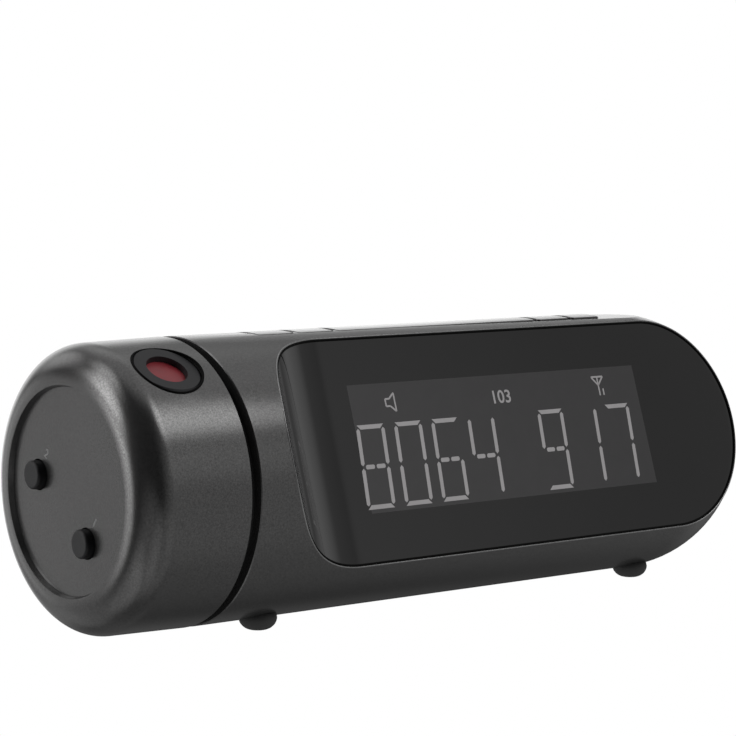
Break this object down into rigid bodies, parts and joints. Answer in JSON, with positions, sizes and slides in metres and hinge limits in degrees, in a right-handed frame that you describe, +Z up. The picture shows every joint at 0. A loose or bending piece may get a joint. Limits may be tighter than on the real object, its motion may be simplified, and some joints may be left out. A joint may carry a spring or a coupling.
{
  "type": "projection alarm clock",
  "caption": "Capsule-shaped bedside clock radio with a tilted display panel, keys on top and a turning drum at one end that projects the time.",
  "frame": {"origin": "on the table under the middle of the clock, halfway along and across", "axes": "+X along the body away from the projector drum, +Y to the back, +Z up; the display faces -Y and a little up"},
  "size_m": [0.1941, 0.064, 0.0654],
  "materials": {
    "gunmetal": "gunmetal metallic lacquer on ABS, fine flake, satin gloss",
    "smoked_panel": "smoked black acrylic, mirror gloss",
    "display_glass": "dark negative display glass",
    "light_guide": "milky light guide",
    "clear_optic": "polished clear optic",
    "red_window": "deep red transparent window, glossy",
    "black_plastic": "fine-textured black ABS",
    "gloss_black": "gloss black",
    "circuit_board": "green solder mask",
    "steel": "zinc plated steel",
    "paper_cone": "black pressed paper cone",
    "rubber": "soft black rubber"
  },
  "bodies": {
    "clock_body": {"main_shell": "gunmetal", "rear_cover": "gunmetal", "front_panel": "smoked_panel", "lcd_glass": "display_glass", "lcd_backlight": "light_guide", "lcd_frame": "black_plastic", "display_board": "circuit_board", "key_board": "circuit_board", "key_switches": "black_plastic", "foot_front_left": "rubber", "foot_rear_left": "rubber", "foot_front_right": "rubber", "foot_rear_right": "rubber", "battery_cover": "gunmetal", "battery_cover_screw": "steel", "coin_cell": "steel", "battery_contacts": "steel", "main_board": "circuit_board", "board_screws": "steel", "radio_shield": "steel", "cover_screws": "steel", "speaker_frame": "black_plastic", "speaker_cone": "paper_cone", "speaker_magnet": "steel", "socket_board": "circuit_board", "dc_jack": "black_plastic", "usb_port": "steel", "antenna_gland": "rubber", "swivel_bush": "gloss_black"},
    "projector_head": {"drum_shell": "gunmetal", "drum_end_disc": "gunmetal", "drum_back_plate": "black_plastic", "drum_screws": "steel", "retaining_clip": "steel", "friction_washer": "steel", "button_board": "circuit_board", "projector_bezel": "black_plastic", "projector_window": "red_window", "focus_barrel": "black_plastic", "projection_lens": "clear_optic", "projector_housing": "black_plastic", "projector_slide": "clear_optic", "projector_led": "clear_optic", "projector_board": "circuit_board"},
    "projection_button": {"projection_button": "black_plastic"},
    "flip_button": {"flip_button": "black_plastic"},
    "snooze_bar": {"snooze_bar": "gunmetal"},
    "key_1": {"key_1": "gunmetal"},
    "key_2": {"key_2": "gunmetal"},
    "key_3": {"key_3": "gunmetal"},
    "key_4": {"key_4": "gunmetal"}
  },
  "joints": [
    {"name": "drum_swivel", "type": "hinge", "parent": "clock_body", "child": "projector_head", "pos_m": [-0.06985, 0, 0.0334], "axis": [1, 0, 0], "range_deg": [-121.7, 58.3]},
    {"name": "projection_button_press", "type": "slide", "parent": "projector_head", "child": "projection_button", "axis": [1, 0, 0], "range_m": [0, 0.0008], "stiffness_N_per_m": 800, "springref_m": -0.0005},
    {"name": "flip_button_press", "type": "slide", "parent": "projector_head", "child": "flip_button", "axis": [1, 0, 0], "range_m": [0, 0.0008], "stiffness_N_per_m": 800, "springref_m": -0.0005},
    {"name": "key_1_press", "type": "slide", "parent": "clock_body", "child": "key_1", "axis": [-0.0056, 0, -1], "range_m": [0, 0.0008], "stiffness_N_per_m": 800, "springref_m": -0.0005},
    {"name": "key_2_press", "type": "slide", "parent": "clock_body", "child": "key_2", "axis": [-0.0056, 0, -1], "range_m": [0, 0.0008], "stiffness_N_per_m": 800, "springref_m": -0.0005},
    {"name": "snooze_bar_press", "type": "slide", "parent": "clock_body", "child": "snooze_bar", "axis": [-0.0056, 0, -1], "range_m": [0, 0.0008], "stiffness_N_per_m": 1200, "springref_m": -0.0005},
    {"name": "key_3_press", "type": "slide", "parent": "clock_body", "child": "key_3", "axis": [-0.0056, 0, -1], "range_m": [0, 0.0008], "stiffness_N_per_m": 800, "springref_m": -0.0005},
    {"name": "key_4_press", "type": "slide", "parent": "clock_body", "child": "key_4", "axis": [-0.0056, 0, -1], "range_m": [0, 0.0008], "stiffness_N_per_m": 800, "springref_m": -0.0005}
  ]
}
